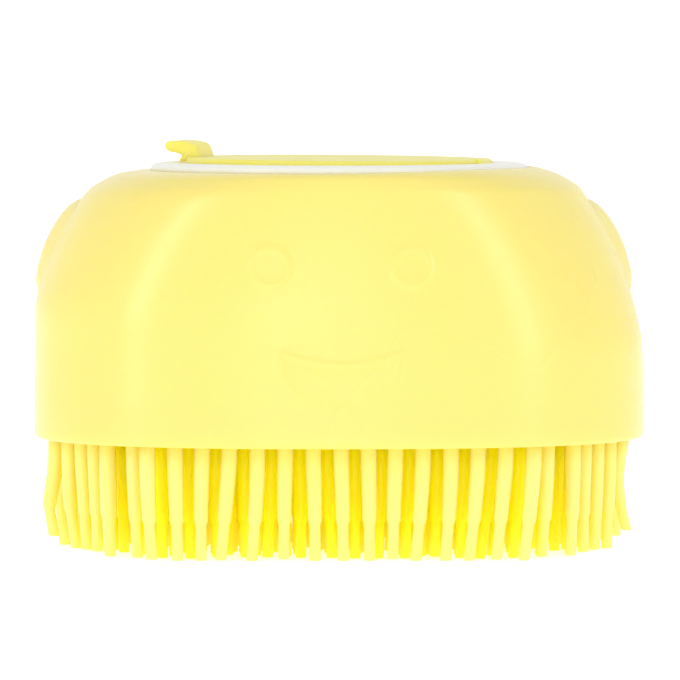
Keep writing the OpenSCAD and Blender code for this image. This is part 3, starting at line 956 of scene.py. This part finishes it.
def moulded_material(
    name, light, deep, tone_scale, grain_scale, roughness, bump_mm, scatter_share, scatter_mm, gloss=0.5
):
    """A Principled material over the moulded_surface group, with light scattered scatter_mm deep."""
    material = bpy.data.materials.new(name)
    material.use_nodes = True
    tree = material.node_tree
    shader = tree.nodes["Principled BSDF"]
    surface = tree.nodes.new("ShaderNodeGroup")
    surface.node_tree = moulded_surface
    surface.inputs["Light Tone"].default_value = (*light, 1)
    surface.inputs["Deep Tone"].default_value = (*deep, 1)
    surface.inputs["Tone Scale"].default_value = tone_scale
    surface.inputs["Grain Scale"].default_value = grain_scale
    surface.inputs["Roughness"].default_value = roughness
    bump = tree.nodes.new("ShaderNodeBump")
    bump.inputs["Strength"].default_value = BUMP_STRENGTH
    bump.inputs["Distance"].default_value = bump_mm * MM
    shader.inputs["IOR"].default_value = MOULDED_IOR
    shader.inputs["Specular IOR Level"].default_value = gloss
    shader.inputs["Subsurface Weight"].default_value = scatter_share
    shader.inputs["Subsurface Radius"].default_value = SCATTER_REACH
    shader.inputs["Subsurface Scale"].default_value = scatter_mm * MM
    link_nodes(
        tree,
        (surface.outputs["Color"], shader.inputs["Base Color"]),
        (surface.outputs["Roughness"], shader.inputs["Roughness"]),
        (surface.outputs["Height"], bump.inputs["Height"]),
        (bump.outputs["Normal"], shader.inputs["Normal"]),
    )
    return material


def finish_with(piece, material):
    """Gives the piece this material in every slot."""
    piece.data.materials.clear()
    piece.data.materials.append(material)


def paint_shade_inwards(material, shade_at_root, shade_at_tip):
    """Paints shade into the base colour: a deeper yellow where the mesh says that it lies inside the
    bristle field.
    """
    tree = material.node_tree
    shader = tree.nodes["Principled BSDF"]
    surface = shader.inputs["Base Color"].links[0].from_socket
    place = tree.nodes.new("ShaderNodeAttribute")
    place.attribute_name = "painted_shade_depth"
    mix = tree.nodes.new("ShaderNodeMix")
    mix.data_type = "RGBA"
    where, split = tree.nodes.new("ShaderNodeTexCoord"), tree.nodes.new("ShaderNodeSeparateXYZ")
    height = tree.nodes.new("ShaderNodeMapRange")
    height.inputs["From Max"].default_value = PAD_BOTTOM_Z * MM
    deep = tree.nodes.new("ShaderNodeMix")
    deep.data_type = "RGBA"
    deep.inputs["A"].default_value = (*shade_at_tip, 1)
    deep.inputs["B"].default_value = (*shade_at_root, 1)
    link_nodes(
        tree,
        (where.outputs["Object"], split.inputs["Vector"]),
        (split.outputs["Z"], height.inputs["Value"]),
        (height.outputs["Result"], deep.inputs["Factor"]),
        (deep.outputs["Result"], mix.inputs["B"]),
        (place.outputs["Fac"], mix.inputs["Factor"]),
        (surface, mix.inputs["A"]),
        (mix.outputs["Result"], shader.inputs["Base Color"]),
    )


shell_silicone = moulded_material(
    "shell_silicone",
    light=(0.94, 0.79, 0.21),
    deep=(0.94, 0.78, 0.20),
    tone_scale=22,
    grain_scale=2600,
    roughness=0.27,
    bump_mm=0.02,
    scatter_share=0.35,
    scatter_mm=3.0,
    gloss=0.65,
)
bristle_silicone = moulded_material(
    "bristle_silicone",
    light=(0.98, 0.88, 0.28),
    deep=(0.98, 0.865, 0.25),
    tone_scale=60,
    grain_scale=2600,
    roughness=0.40,
    bump_mm=0.01,
    scatter_share=0.25,
    scatter_mm=1.5,
)
# Painted shade and bounce light between the bristles: a deep yellow with almost no blue, a little
# lighter at the roots than at the tips
paint_shade_inwards(bristle_silicone, shade_at_root=(1.0, 1.0, 0.003), shade_at_tip=(1.0, 0.90, 0.003))
lid_silicone = moulded_material(
    "lid_silicone",
    light=(1.0, 0.875, 0.18),
    deep=(1.0, 0.86, 0.16),
    tone_scale=60,
    grain_scale=2600,
    roughness=0.40,
    bump_mm=0.015,
    scatter_share=0.4,
    scatter_mm=2.5,
)
white_plastic = moulded_material(
    "white_plastic",
    light=(0.96, 0.955, 0.86),
    deep=(0.945, 0.94, 0.84),
    tone_scale=50,
    grain_scale=1800,
    roughness=0.32,
    bump_mm=0.01,
    scatter_share=0.3,
    scatter_mm=2.0,
)
finish_with(shell, shell_silicone)
for piece in (pad, bristles):
    finish_with(piece, bristle_silicone)
for piece in (lid, tether):
    finish_with(piece, lid_silicone)
for piece in (collar, frame["nodes"]["collar_lock_ring"]):
    finish_with(piece, white_plastic)

# %% [markdown]
# ## Colour view
#
# The picture uses Blender's Standard view transform. The dressed brush has to stay inside the
# solid model's box, but for the face's low relief at the front.

# %% View transform
bpy.context.scene.view_settings.view_transform = "Standard"
